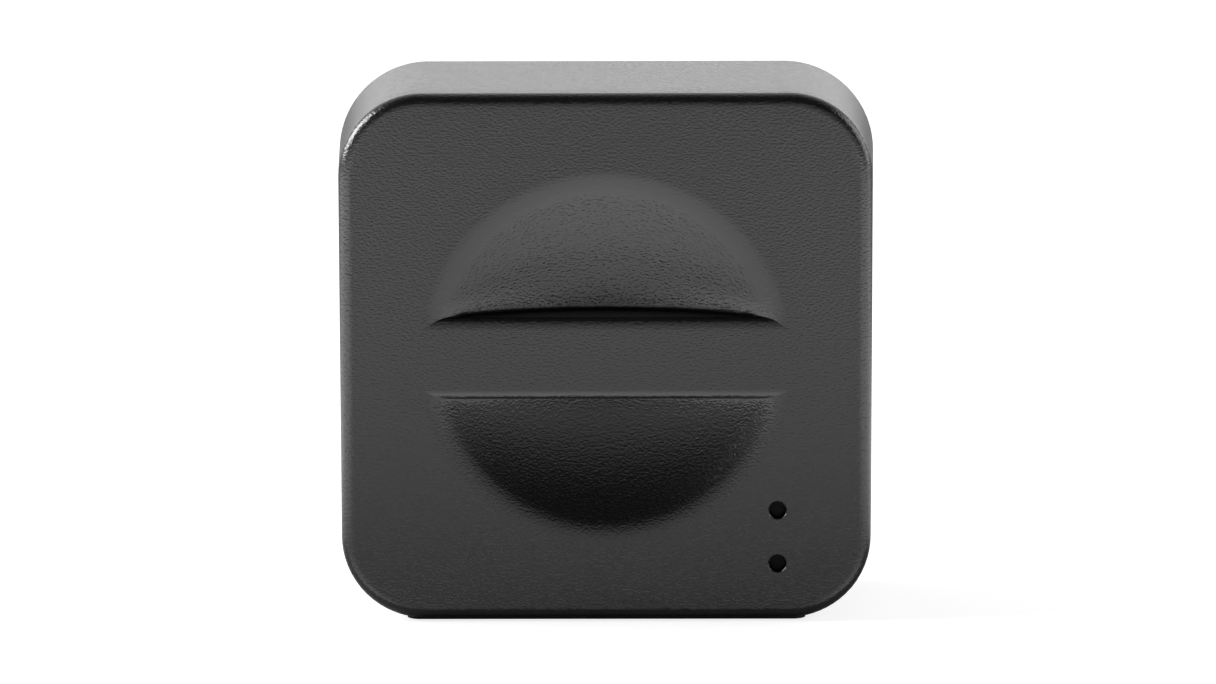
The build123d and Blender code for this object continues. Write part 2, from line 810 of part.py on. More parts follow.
# Timing crystal in its drawn can
with BuildPart() as crystal:
    with BuildSketch(facing(board_rear)):
        with Locations((crystal_x, face_centre_z + crystal_rise)):
            SlotOverall(crystal_length + 2 * crystal_base_lip, crystal_width + 2 * crystal_base_lip)
    extrude(amount=-crystal_base)
    with BuildSketch(facing(board_rear + crystal_base)):
        with Locations((crystal_x, face_centre_z + crystal_rise)):
            SlotOverall(crystal_length, crystal_width)
    extrude(amount=crystal_base - crystal_height)
    chamfer(crystal.faces().sort_by(Axis.Y)[-1].edges(), length=crystal_edge_bevel)
finish(crystal, "crystal")

# Can capacitors: each is turned round its own axis, on a wider foot
with BuildPart() as capacitors:
    for rise in (capacitor_rise, capacitor_rise + capacitor_pitch):
        foot = (capacitor_x, front_y + board_rear, face_centre_z + rise)
        radius = capacitor_diameter / 2
        with BuildSketch(Plane(origin=foot, x_dir=(1, 0, 0), z_dir=(0, 0, 1))):
            with BuildLine():
                Polyline(
                    (0, 0),
                    (radius + capacitor_base_margin, 0),
                    (radius + capacitor_base_margin, capacitor_base),
                    (radius, capacitor_base),
                    (radius, capacitor_height - capacitor_bevel),
                    (radius - capacitor_bevel, capacitor_height),
                    (0, capacitor_height),
                    close=True,
                )
            make_face()
        revolve(axis=Axis(foot, (0, 1, 0)))
finish(capacitors, "capacitors")

with BuildPart() as inductor:
    with BuildSketch(facing(board_rear)):
        with Locations((inductor_x, face_centre_z + inductor_rise)):
            Rectangle(inductor_side, inductor_side)
    extrude(amount=-inductor_height)
    chamfer(inductor.edges().filter_by(Axis.Y), length=inductor_bevel)
finish(inductor, "inductor")

with BuildPart() as chip_resistors:
    with BuildSketch(facing(board_rear)):
        with Locations((chip_part_x, face_centre_z + chip_part_rise)):
            with GridLocations(chip_part_pitch_x, chip_part_pitch_z, chip_part_columns, chip_part_rows):
                Rectangle(chip_part_length, chip_part_width)
    extrude(amount=-chip_part_height)
finish(chip_resistors, "chip_resistors")

# Service header at the board's right edge: a plastic strip with square pins through it
header_length = header_pin_count * header_pitch
with BuildPart() as header_strip:
    with BuildSketch(facing(board_rear)):
        with Locations((header_x, face_centre_z + header_rise)):
            Rectangle(header_pitch, header_length)
            with GridLocations(header_pitch, header_pitch, 1, header_pin_count):
                Rectangle(header_pin_side, header_pin_side, mode=Mode.SUBTRACT)
    extrude(amount=-header_block_height)
finish(header_strip, "header_strip")

with BuildPart() as header_pins:
    with BuildSketch(facing(board_rear)):
        with Locations((header_x, face_centre_z + header_rise)):
            with GridLocations(header_pitch, header_pitch, 1, header_pin_count):
                Rectangle(header_pin_side, header_pin_side)
    extrude(amount=-header_pin_height)
finish(header_pins, "header_pins")
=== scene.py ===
import bmesh
import bpy
import math
from mathutils import Matrix, Vector


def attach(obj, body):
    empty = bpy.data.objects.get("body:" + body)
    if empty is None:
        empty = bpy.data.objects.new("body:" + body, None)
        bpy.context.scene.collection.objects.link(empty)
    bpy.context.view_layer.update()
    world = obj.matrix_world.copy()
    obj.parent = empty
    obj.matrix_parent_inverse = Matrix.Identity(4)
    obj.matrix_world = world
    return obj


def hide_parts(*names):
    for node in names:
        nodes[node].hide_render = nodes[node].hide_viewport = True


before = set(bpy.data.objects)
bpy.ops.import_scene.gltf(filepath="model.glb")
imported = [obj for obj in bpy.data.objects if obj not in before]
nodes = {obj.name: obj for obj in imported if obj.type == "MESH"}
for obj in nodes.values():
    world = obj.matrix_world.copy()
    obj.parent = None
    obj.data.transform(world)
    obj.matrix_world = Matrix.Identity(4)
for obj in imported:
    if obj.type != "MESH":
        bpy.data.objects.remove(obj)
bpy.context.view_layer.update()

# Front shell, injection moulded in black plastic with an eroded grain. The face, its bowl and bar, the rolled edge,
# the drafted walls and the inside of the moulding are one closed skin, laid out as columns and rows that follow the
# relief. Lengths are metres: x to the right and z up from the middle of the face, and depth from it to the rear.
MM = 0.001
FRONT_Y = -16.0 * MM
CENTRE_Z = 40.4 * MM
HALF_SIDE = 40.0 * MM
BOX_DEPTH = 32.0 * MM
CORNER = 12.5 * MM
DRAFT = math.radians(2.6)
WALL = 2.2 * MM
EDGE_ROUND = 2.0 * MM
BOWL_SPHERE = 44.0 * MM
BOWL_CENTRE = 8.8 * MM - BOWL_SPHERE  # the bowl is 8.8 mm deep, so the sphere's centre lies in front of the face
RIM_ROLL = 7.0 * MM  # radius of the roll from the bowl out to the face
RIM_RADIUS = 28.637 * MM  # circle on which the roll meets the face
BAR_HALF = 6.3 * MM
BAR_LEAN = math.radians(2.0)
EASE_TURN = math.radians(22.0)  # turn of the bar's easy arc before it tightens
LEVEL_START = 6.6 * MM  # below this height over the bar's middle the bowl runs level
LEVEL_LEAST = 0.02  # least share of the level run, at the bowl's ends
CREASE_FILLET = 0.7 * MM
FILLET_SHARE = 0.6  # most of the bar's side that the fillet takes
REBATE_WALL = 1.0 * MM  # wall left round the rear cover
COVER_SEAT = BOX_DEPTH - 2.4 * MM
BOTTOM_Z = CENTRE_Z - HALF_SIDE
SHARP_TURN = math.radians(28.0)  # edges that turn more than this stay hard in the shading


def mark_edges(mesh):
    """Turns a mesh's normals outwards and shades it smooth, apart from its hard edges."""
    build = bmesh.new()
    build.from_mesh(mesh)
    bmesh.ops.recalc_face_normals(build, faces=build.faces)
    for edge in build.edges:
        edge.smooth = edge.calc_face_angle(math.pi) < SHARP_TURN
    for face in build.faces:
        face.smooth = True
    build.to_mesh(mesh)
    build.free()


def mesh_object(name, points, faces, material):
    """An object made from points and faces."""
    mesh = bpy.data.meshes.new(name)
    mesh.from_pydata([tuple(point) for point in points], [], faces)
    piece = bpy.data.objects.new(name, mesh)
    bpy.context.scene.collection.objects.link(piece)
    mark_edges(mesh)
    mesh.materials.append(material)
    return piece


class Coat:
    """A procedural material: a principled shader with its sockets driven by noise in object coordinates."""

    def __init__(self, name, roughness, metallic=0.0):
        self.slot = name
        self.material = bpy.data.materials.new(name + "_coat")
        self.material.use_nodes = True
        self.tree = self.material.node_tree
        self.shader = self.tree.nodes["Principled BSDF"]
        self.shader.inputs["Roughness"].default_value = roughness
        self.shader.inputs["Metallic"].default_value = metallic
        self.place = self.tree.nodes.new("ShaderNodeTexCoord").outputs["Object"]

    def noise(self, scale, detail=2.0, stretch=(1.0, 1.0, 1.0)):
        """Noise of a given scale, in lumps per metre, drawn out along an axis by stretch."""
        turn = self.tree.nodes.new("ShaderNodeMapping")
        turn.inputs["Scale"].default_value = [1 / part for part in stretch]
        field = self.tree.nodes.new("ShaderNodeTexNoise")
        field.inputs["Scale"].default_value = scale
        field.inputs["Detail"].default_value = detail
        self.tree.links.new(self.place, turn.inputs["Vector"])
        self.tree.links.new(turn.outputs["Vector"], field.inputs["Vector"])
        return field.outputs["Fac"]

    def spread(self, value, low, high):
        """A value between 0 and 1 drawn out to the range low to high, for one socket."""
        span = self.tree.nodes.new("ShaderNodeMapRange")
        span.inputs["From Min"].default_value = 0.3
        span.inputs["From Max"].default_value = 0.7
        span.inputs["To Min"].default_value = low
        span.inputs["To Max"].default_value = high
        self.tree.links.new(value, span.inputs["Value"])
        return span.outputs["Result"]

    def colour(self, value, low, high):
        """Runs the base colour between two colours."""
        mix = self.tree.nodes.new("ShaderNodeMix")
        mix.data_type = "RGBA"
        mix.inputs[6].default_value = (*low, 1.0)
        mix.inputs[7].default_value = (*high, 1.0)
        self.tree.links.new(self.spread(value, 0.0, 1.0), mix.inputs[0])
        self.tree.links.new(mix.outputs[2], self.shader.inputs["Base Color"])

    def gloss(self, value, low, high):
        """Runs the roughness between two values."""
        self.tree.links.new(self.spread(value, low, high), self.shader.inputs["Roughness"])

    def relief(self, value, depth):
        """Raises the surface by depth, in metres, with bump shading."""
        bump = self.tree.nodes.new("ShaderNodeBump")
        bump.inputs["Distance"].default_value = depth
        self.tree.links.new(value, bump.inputs["Height"])
        self.tree.links.new(bump.outputs["Normal"], self.shader.inputs["Normal"])


housing_coat = Coat("housing_plastic", roughness=0.23)
housing_coat.shader.inputs["IOR"].default_value = 1.58
housing_grain = housing_coat.noise(3000, detail=1.0, stretch=(1.5, 1.0, 1.0))
housing_coat.colour(housing_grain, (0.002, 0.002, 0.002), (0.005, 0.005, 0.005))
housing_coat.gloss(housing_coat.noise(2600), 0.21, 0.25)
housing_coat.relief(housing_grain, 0.072 * MM)

# Degrees round a corner of the outline, closer together near its start
ARC_STEPS = (2, 4, 6, 8, 11, 14, 18, 23, 28, 33, 39, 45, 51, 57, 63, 69, 75, 80, 85, 90)
# Rows of the skin in each stretch of a column, from the middle of the bar to the face's outline
FLAT_ROWS = 4
EASE_ROWS = 5
TIGHT_ROWS = 7
BAR_SIDE_ROWS = 6
CREASE_ROWS = 8
BOWL_ROWS = 16
RIM_ROWS = 12
FACE_ROWS = 10
RIM_CROWDING = 1.3  # draws the rim's rows together towards the face
LEAST_ROW = 0.008 * MM


class Relief:
    """One side of the moulded wall: how far it lies behind the front face, and the bowl and bar on it."""

    def __init__(self, face, bar_round, ease_round, level_run):
        self.face = face
        self.sphere = BOWL_SPHERE + face
        self.roll = RIM_ROLL - face
        self.bar_half = BAR_HALF - face
        self.bar_round = bar_round
        self.ease_round = ease_round
        self.level_run = level_run
        ease = ease_round - bar_round
        self.ease_gain = ease * math.sin(EASE_TURN)
        self.ease_drop = face + ease * (1 - math.cos(EASE_TURN))
        self.flat = self.bar_half - bar_round - self.ease_gain
        self.turn = RIM_RADIUS * self.sphere / (BOWL_SPHERE + RIM_ROLL)

    def bowl(self, x, z):
        """Depth of the bowl and its rolled rim. Near the bar the bowl runs level, so it meets the bar squarely."""
        easing = self.level_run * max(1 - (x / RIM_RADIUS) ** 2, LEVEL_LEAST)
        part = min(max((z - LEVEL_START) / easing, 0.0), 1.0)
        if part < 1:
            z = LEVEL_START + easing / 2 + easing * (part**3 - part**4 / 2)
        radius = math.hypot(x, z)
        if radius <= self.turn:
            return BOWL_CENTRE + math.sqrt(self.sphere**2 - radius**2)
        if radius < RIM_RADIUS:
            return self.face + self.roll - math.sqrt(self.roll**2 - (RIM_RADIUS - radius) ** 2)
        return self.face

    def bar(self, z):
        """Depth of the bar's flat, its edge, an easy arc that tightens, and its side, which leans by two degrees."""
        run = z - self.flat
        if run <= 0:
            return self.face
        if run < self.ease_round * math.sin(EASE_TURN):
            return self.face + self.ease_round - math.sqrt(self.ease_round**2 - run**2)
        run -= self.ease_gain
        end = self.bar_round * math.cos(BAR_LEAN)
        if run < end:
            return self.ease_drop + self.bar_round - math.sqrt(self.bar_round**2 - run**2)
        return self.ease_drop + self.bar_round * (1 - math.sin(BAR_LEAN)) + (run - end) / math.tan(BAR_LEAN)

    def depth(self, x, z):
        """Depth of the face, on the bar or in the bowl, whichever stands in front."""
        return min(self.bowl(x, z), self.bar(z))

    def crossing(self, x):
        """The z where the bar's side meets the bowl in the column at x."""
        low, high = self.flat, self.bar_half + self.bar_round
        if self.bowl(x, low) <= self.face:
            return None
        for halving in range(50):
            middle = (low + high) / 2
            if self.bar(middle) < self.bowl(x, middle):
                low = middle
            else:
                high = middle
        return (low + high) / 2

    def column(self, x, top):
        """Rows of (z, depth) up one column, from the middle of the bar to top on the face's outline."""
        x = abs(x)
        rows = [(self.flat * step / FLAT_ROWS, self.face) for step in range(FLAT_ROWS + 1)]
        meet = self.crossing(x)
        if meet is None:
            meet = self.flat
        runs = [self.ease_round * math.sin(EASE_TURN * step / EASE_ROWS) for step in range(1, EASE_ROWS + 1)]
        tight_turn = math.pi / 2 - BAR_LEAN - EASE_TURN
        for step in range(1, TIGHT_ROWS + 1):
            turn = EASE_TURN + tight_turn * step / TIGHT_ROWS
            runs.append(self.ease_gain + self.bar_round * math.sin(turn))
        part = min((meet - self.flat) / runs[-1], 1.0)
        for run in runs:
            z = self.flat + part * run
            rows.append((z, self.bar(z)))
        floor = self.bowl(x, meet)
        edge_depth = rows[-1][1]
        foot = min(CREASE_FILLET, FILLET_SHARE * (floor - edge_depth)) if part == 1.0 else 0.0
        for step in range(1, BAR_SIDE_ROWS + 1):
            depth = edge_depth + (floor - foot - edge_depth) * step / BAR_SIDE_ROWS
            rows.append((self.wall_z(depth) if part == 1.0 else meet, depth))
        start_z, start_depth = rows[-1]
        end_z = meet + foot
        end_depth = self.bowl(x, end_z)
        for step in range(1, CREASE_ROWS + 1):
            t = step / CREASE_ROWS
            near, middle, far = (1 - t) ** 2, 2 * t * (1 - t), t * t
            z = near * start_z + middle * meet + far * end_z
            rows.append((z, near * start_depth + middle * floor + far * end_depth))
        start = rows[-1][0]
        turn_z = math.sqrt(max(self.turn**2 - x**2, 0.0))
        rim_z = math.sqrt(max(RIM_RADIUS**2 - x**2, 0.0))
        turn_z = max(turn_z, start)
        rim_z = max(rim_z, turn_z)
        for step in range(1, BOWL_ROWS + 1):
            z = start + (turn_z - start) * step / BOWL_ROWS
            rows.append((z, self.bowl(x, z)))
        for step in range(1, RIM_ROWS + 1):
            z = turn_z + (rim_z - turn_z) * (1 - (1 - step / RIM_ROWS) ** RIM_CROWDING)
            rows.append((z, self.bowl(x, z)))
        for step in range(1, FACE_ROWS + 1):
            rows.append((rim_z + (top - rim_z) * step / FACE_ROWS, self.face))
        spaced = [rows[0]]
        for z, depth in rows[1:]:
            least = spaced[-1][0] + LEAST_ROW
            if z < least:
                z, depth = least, self.depth(x, least)
            spaced.append((z, depth))
        return spaced

    def wall_z(self, depth):
        """Where the bar's leaning side is at a depth."""
        start_z = self.bar_half - self.bar_round * (1 - math.cos(BAR_LEAN))
        start_depth = self.ease_drop + self.bar_round * (1 - math.sin(BAR_LEAN))
        return start_z + max(depth - start_depth, 0.0) * math.tan(BAR_LEAN)


def shell_skin():
    """Points and faces of the moulding's outer and inner skin as one closed mesh."""
    points, faces = [], []
    arc_centre = HALF_SIDE - CORNER
    slope = math.tan(DRAFT)
    edge_inset = EDGE_ROUND / math.cos(DRAFT) - EDGE_ROUND * slope

    def face_grid(upper, lower, inset):
        """The face's columns and rows. Returns its rim as (index, outward direction) in order round the face."""
        corner = CORNER - inset
        close_reach, close_columns, wide_columns = 22.0 * MM, 32, 16
        steps = [close_reach * k / close_columns for k in range(close_columns)]
        steps += [close_reach + (arc_centre - close_reach) * k / wide_columns for k in range(wide_columns + 1)]
        plan = [(x, arc_centre + corner, 0.0) for x in steps]
        for angle in ARC_STEPS:
            turn = math.radians(angle)
            plan.append((arc_centre + corner * math.sin(turn), arc_centre + corner * math.cos(turn), turn))
        plan = [(-x, top, -turn) for x, top, turn in reversed(plan[1:])] + plan
        grid = []
        for x, top, turn in plan:
            rows = [(-z, depth) for z, depth in reversed(lower.column(x, top)[1:])] + upper.column(x, top)
            line = []
            for z, depth in rows:
                line.append(len(points))
                points.append((x, FRONT_Y + depth, CENTRE_Z + z))
            grid.append(line)
        for left, right in zip(grid, grid[1:]):
            for k in range(len(left) - 1):
                faces.append((left[k], right[k], right[k + 1], left[k + 1]))
        last = len(grid[0]) - 1
        outwards = [(math.sin(turn), math.cos(turn)) for x, top, turn in plan]
        rim = [(line[last], (out_x, out_z)) for line, (out_x, out_z) in zip(grid, outwards)]
        rim += [(grid[-1][k], (1.0, 0.0)) for k in range(last - 1, 0, -1)]
        rim += [(line[0], (out_x, -out_z)) for line, (out_x, out_z) in zip(reversed(grid), reversed(outwards))]
        rim += [(grid[0][k], (-1.0, 0.0)) for k in range(1, last)]
        return rim

    def ring(rim, inset, depth, out, level):
        """A ring of points at a depth, out from the nominal outline, with its bottom side cut at level."""
        made = []
        reach = out + inset
        for index, (out_x, out_z) in rim:
            x, y, z = points[index]
            made.append(len(points))
            points.append((x + out_x * reach, FRONT_Y + depth, max(z + out_z * reach, BOTTOM_Z + level)))
        return made

    def join(first, second):
        """A band of faces between two rings."""
        for k in range(len(first)):
            n = (k + 1) % len(first)
            faces.append((first[k], first[n], second[n], second[k]))

    upper = Relief(face=0.0, bar_round=1.0 * MM, ease_round=3.6 * MM, level_run=8.4 * MM)
    lower = Relief(face=0.0, bar_round=1.6 * MM, ease_round=1.6 * MM, level_run=0.2 * MM)
    inner = Relief(face=WALL, bar_round=0.3 * MM, ease_round=0.3 * MM, level_run=0.2 * MM)
    rim = face_grid(upper, lower, edge_inset)
    loops = [[index for index, direction in rim]]
    edge_rows = 12
    for step in range(1, edge_rows + 1):
        angle = (math.pi / 2 - DRAFT) * step / edge_rows
        out = EDGE_ROUND * math.sin(angle) - edge_inset
        loops.append(ring(rim, edge_inset, EDGE_ROUND * (1 - math.cos(angle)), out, 0.0))
    chamfer = 0.12 * MM
    for depth in (6.0 * MM, 12.0 * MM, 18.0 * MM, 25.0 * MM, BOX_DEPTH - chamfer):
        loops.append(ring(rim, edge_inset, depth, depth * slope, 0.0))
    for depth, in_from_side in (
        (BOX_DEPTH, chamfer),
        (BOX_DEPTH, REBATE_WALL - chamfer),
        (BOX_DEPTH - chamfer, REBATE_WALL),
        (COVER_SEAT, REBATE_WALL),
    ):
        loops.append(ring(rim, edge_inset, depth, BOX_DEPTH * slope - in_from_side, in_from_side))
    inner_inset = WALL - WALL * slope
    inner_rim = face_grid(inner, inner, inner_inset)
    for depth in (COVER_SEAT, 16.0 * MM, 6.0 * MM):
        loops.append(ring(inner_rim, inner_inset, depth, depth * slope - WALL, WALL))
    loops.append([index for index, direction in inner_rim])
    for first, second in zip(loops, loops[1:]):
        join(first, second)
    return points, faces


def cutter(name, x, z, profile, sides=64):
    """A turned cutting body about an axis along y, from (radius, depth) pairs."""
    points, faces, rings = [], [], []
    for radius, depth in profile:
        rings.append(list(range(len(points), len(points) + sides)))
        for k in range(sides):
            angle = 2 * math.pi * k / sides
            across, up = radius * math.cos(angle), radius * math.sin(angle)
            points.append((x + across, FRONT_Y + depth, CENTRE_Z + z + up))
    for first, second in zip(rings, rings[1:]):
        for k in range(sides):
            n = (k + 1) % sides
            faces.append((first[k], second[k], second[n], first[n]))
    faces.append(tuple(reversed(rings[0])))
    faces.append(tuple(rings[-1]))
    return mesh_object(name, points, faces, housing_coat.material)


def cut(piece, tool):
    """Takes the tool's shape out of the piece."""
    step = piece.modifiers.new("cut", "BOOLEAN")
    step.operation = "DIFFERENCE"
    step.solver = "EXACT"
    step.object = tool
    bpy.context.view_layer.update()
    shaped = bpy.data.meshes.new_from_object(piece.evaluated_get(bpy.context.evaluated_depsgraph_get()))
    piece.modifiers.clear()
    piece.data = shaped
    bpy.data.objects.remove(tool)
    mark_edges(shaped)


def rounded_plate(name, width, depth, corner, low, high, y):
    """A flat plate with rounded corners, lying level."""
    outline = []
    corner_steps = 8
    for side_x, side_y, start in ((1, 1, 0), (-1, 1, 90), (-1, -1, 180), (1, -1, 270)):
        for step in range(corner_steps + 1):
            angle = math.radians(start + 90 * step / corner_steps)
            across = side_x * (width / 2 - corner) + corner * math.cos(angle)
            along = side_y * (depth / 2 - corner) + corner * math.sin(angle)
            outline.append((across, y + along))
    count = len(outline)
    points = [(px, py, low) for px, py in outline] + [(px, py, high) for px, py in outline]
    faces = [tuple(range(count)), tuple(range(count, 2 * count))]
    faces += [(k, (k + 1) % count, count + (k + 1) % count, count + k) for k in range(count)]
    return mesh_object(name, points, faces, housing_coat.material)


skin_points, skin_faces = shell_skin()
shell = mesh_object("front_shell_skin", skin_points, skin_faces, housing_coat.material)
LIGHT_ACROSS = 25.9 * MM
LIGHT_RISES = (-23.2 * MM, -31.4 * MM)
LIGHT_RADIUS = 1.3 * MM
LIGHT_CHAMFER = 0.15 * MM
CUT_LEAD = 0.01 * MM
light_hole = [
    (LIGHT_RADIUS + 2 * LIGHT_CHAMFER, -1.0 * MM),
    (LIGHT_RADIUS + LIGHT_CHAMFER, -CUT_LEAD),
    (LIGHT_RADIUS, LIGHT_CHAMFER - CUT_LEAD),
    (LIGHT_RADIUS, 4.0 * MM),
]
for light_rise in LIGHT_RISES:
    cut(shell, cutter("light_cutter", LIGHT_ACROSS, light_rise, light_hole))
foot_cutter = rounded_plate(
    "foot_cutter",
    width=60.8 * MM,
    depth=24.2 * MM,
    corner=2.1 * MM,
    low=-1.0 * MM,
    high=1.0 * MM,
    y=-1.9 * MM,
)
cut(shell, foot_cutter)
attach(shell, "housing")
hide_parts("front_shell")


# Screw bosses and board posts, moulded in one with the shell: round columns with a blind pilot hole from the rear, and
# on the bosses a web that ties them to the box's corner. One column of each kind is turned and set at the four
# corners of a rectangle round the middle of the face, with its web outwards.
def turned_column(name, profile, web_reach, sides=40):
    """A column about an axis along y, from (depth, radius) pairs, with a web along x out to web_reach."""
    points, faces, rings = [], [], []
    if web_reach:
        web_half = 0.7 * MM
        web_start = 0.8 * profile[0][1]
        for x in (web_start, web_reach):
            for depth in (profile[0][0], profile[1][0]):
                points += [(x, FRONT_Y + depth, -web_half), (x, FRONT_Y + depth, web_half)]
        faces += [(0, 1, 3, 2), (4, 6, 7, 5), (0, 4, 5, 1), (2, 3, 7, 6), (0, 2, 6, 4), (1, 5, 7, 3)]
    for depth, radius in profile:
        rings.append(list(range(len(points), len(points) + sides)))
        for k in range(sides):
            angle = 2 * math.pi * k / sides
            points.append((radius * math.cos(angle), FRONT_Y + depth, radius * math.sin(angle)))
    for first, second in zip(rings, rings[1:]):
        for k in range(sides):
            n = (k + 1) % sides
            faces.append((first[k], second[k], second[n], first[n]))
    faces.append(tuple(rings[0]))
    faces.append(tuple(reversed(rings[-1])))
    return mesh_object(name, points, faces, housing_coat.material)


corner_tree = bpy.data.node_groups.new("four_corners", "GeometryNodeTree")
corner_tree.interface.new_socket("Geometry", in_out="INPUT", socket_type="NodeSocketGeometry")
spacing_across, spacing_up = (
    corner_tree.interface.new_socket(title, in_out="INPUT", socket_type="NodeSocketFloat")
    for title in ("Spacing Across", "Spacing Up")
)
corner_tree.interface.new_socket("Geometry", in_out="OUTPUT", socket_type="NodeSocketGeometry")
corner_in = corner_tree.nodes.new("NodeGroupInput")
corner_grid = corner_tree.nodes.new("GeometryNodeMeshGrid")
corner_grid.inputs["Vertices X"].default_value = 2
corner_grid.inputs["Vertices Y"].default_value = 2
corner_stand = corner_tree.nodes.new("GeometryNodeTransform")
corner_stand.inputs["Translation"].default_value = (0.0, 0.0, CENTRE_Z)
corner_stand.inputs["Rotation"].default_value = (math.radians(90.0), 0.0, 0.0)
corner_place = corner_tree.nodes.new("GeometryNodeInputPosition")
corner_outwards = corner_tree.nodes.new("ShaderNodeVectorMath")
corner_outwards.operation = "SUBTRACT"
corner_outwards.inputs[1].default_value = (0.0, 0.0, CENTRE_Z)
corner_turn = corner_tree.nodes.new("FunctionNodeAlignRotationToVector")
corner_turn.axis = "X"
corner_turn.pivot_axis = "Y"
corner_set = corner_tree.nodes.new("GeometryNodeInstanceOnPoints")
corner_real = corner_tree.nodes.new("GeometryNodeRealizeInstances")
corner_coat = corner_tree.nodes.new("GeometryNodeSetMaterial")
corner_coat.inputs["Material"].default_value = housing_coat.material
corner_out = corner_tree.nodes.new("NodeGroupOutput")
for source, target in (
    (corner_in.outputs["Spacing Across"], corner_grid.inputs["Size X"]),
    (corner_in.outputs["Spacing Up"], corner_grid.inputs["Size Y"]),
    (corner_grid.outputs["Mesh"], corner_stand.inputs["Geometry"]),
    (corner_stand.outputs["Geometry"], corner_set.inputs["Points"]),
    (corner_in.outputs["Geometry"], corner_set.inputs["Instance"]),
    (corner_place.outputs["Position"], corner_outwards.inputs[0]),
    (corner_outwards.outputs["Vector"], corner_turn.inputs["Vector"]),
    (corner_turn.outputs["Rotation"], corner_set.inputs["Rotation"]),
    (corner_set.outputs["Instances"], corner_real.inputs["Geometry"]),
    (corner_real.outputs["Geometry"], corner_coat.inputs["Geometry"]),
    (corner_coat.outputs["Geometry"], corner_out.inputs["Geometry"]),
):
    corner_tree.links.new(source, target)
COLUMN_SPACING = 65.2 * MM
COLUMN_ROOT = WALL / 2
for name, rise, far, outer, bore, bore_end, web_reach in (
    ("screw_bosses", COLUMN_SPACING, COVER_SEAT, 3.2 * MM, 1.2 * MM, 20.5 * MM, 4.6 * MM),
    ("board_posts", 26.0 * MM, 13.0 * MM, 2.5 * MM, 1.05 * MM, 6.6 * MM, 0.0),
):
    profile = [(COLUMN_ROOT, outer), (far, outer), (far, bore), (bore_end, bore)]
    columns = turned_column(name, profile, web_reach)
    repeat = columns.modifiers.new("four_corners", "NODES")
    repeat.node_group = corner_tree
    repeat[spacing_across.identifier] = COLUMN_SPACING
    repeat[spacing_up.identifier] = rise
    bpy.context.view_layer.update()
    placed = bpy.data.meshes.new_from_object(columns.evaluated_get(bpy.context.evaluated_depsgraph_get()))
    columns.modifiers.clear()
    columns.data = placed
    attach(columns, "housing")


# Foot strip, 1 mm black rubber die cut with rounded corners. It is glued into a shallow recess under the box and
# stands 0.4 mm proud of it, so it shows from the front as a thin dark line.
def coat_node(name, coat):
    """Gives a CAD node its procedural material."""
    nodes[name].data.materials.clear()
    nodes[name].data.materials.append(coat.material)


foot_coat = Coat("foot_rubber", roughness=0.8)
foot_coat.colour(foot_coat.noise(900), (0.006, 0.006, 0.006), (0.012, 0.012, 0.012))
foot_coat.relief(foot_coat.noise(2500), 0.02 * MM)
coat_node("foot_strip", foot_coat)

# Light guide, moulded in dark smoked plastic: two short pins on one bridge, held against the inside of the face. The
# pins end a little way down the two holes, so the holes look black while the lights are off.
guide_coat = Coat("light_guide", roughness=0.6)
guide_coat.shader.inputs["Specular IOR Level"].default_value = 0.1
guide_coat.colour(guide_coat.noise(400), (0.001, 0.001, 0.001), (0.003, 0.003, 0.003))
coat_node("light_guide", guide_coat)

# Rear cover, moulded in black plastic with a finer, duller grain than the shell. It lies in a rebate of the shell and
# carries the vent slots, the openings for both sockets, the hole for the reset button and the screws' counterbores.
cover_coat = Coat("cover_plastic", roughness=0.5)
cover_grain = cover_coat.noise(2200)
cover_coat.colour(cover_grain, (0.004, 0.004, 0.0042), (0.0065, 0.0065, 0.0067))
cover_coat.gloss(cover_coat.noise(1200), 0.45, 0.55)
cover_coat.relief(cover_grain, 0.014 * MM)
coat_node("rear_cover", cover_coat)

# Reset button, a small cap moulded in dark grey plastic with a satin skin. It is pressed onto the stem of the switch
# behind it and travels with the stem.
button_coat = Coat("button_plastic", roughness=0.4)
button_coat.colour(button_coat.noise(1500), (0.03, 0.03, 0.032), (0.045, 0.045, 0.047))
button_coat.relief(button_coat.noise(3000), 0.008 * MM)
coat_node("reset_button", button_coat)

# Cross-recessed thread-forming screws, zinc plated steel with a dark passivated finish. Four hold the rear cover to
# the corner bosses and four hold the circuit board to its posts.
screw_coat = Coat("screw_steel", roughness=0.35, metallic=1.0)
screw_coat.colour(screw_coat.noise(1200), (0.22, 0.22, 0.23), (0.34, 0.34, 0.35))
screw_coat.gloss(screw_coat.noise(2500), 0.28, 0.45)
for name in ("cover_screws", "board_screws"):
    coat_node(name, screw_coat)

# Circuit boards, woven glass laminate under green solder mask: the main board on its four posts, and the small radio
# board soldered flat onto it. The copper tracks show as a faint pattern below the mask.
board_coat = Coat("board_laminate", roughness=0.3)
track_tint = board_coat.noise(700, detail=0.0, stretch=(6.0, 1.0, 0.6))
track_rise = board_coat.noise(900, detail=0.0, stretch=(6.0, 1.0, 0.6))
board_coat.colour(track_tint, (0.006, 0.05, 0.02), (0.01, 0.085, 0.035))
board_coat.relief(track_rise, 0.03 * MM)
for name in ("main_board", "radio_board"):
    coat_node(name, board_coat)

# Connector and switch mouldings, black glass-filled plastic with a dull skin: the network socket's body, the power
# socket's riser and tongue, the switch's body and stem, and the strip that holds the header pins.
moulding_coat = Coat("black_plastic", roughness=0.45)
moulding_coat.colour(moulding_coat.noise(1800), (0.008, 0.008, 0.008), (0.016, 0.016, 0.016))
moulding_coat.gloss(moulding_coat.noise(900), 0.38, 0.52)
for name in (
    "ethernet_housing",
    "usb_riser",
    "usb_tongue",
    "reset_switch_body",
    "reset_plunger",
    "header_strip",
):
    coat_node(name, moulding_coat)

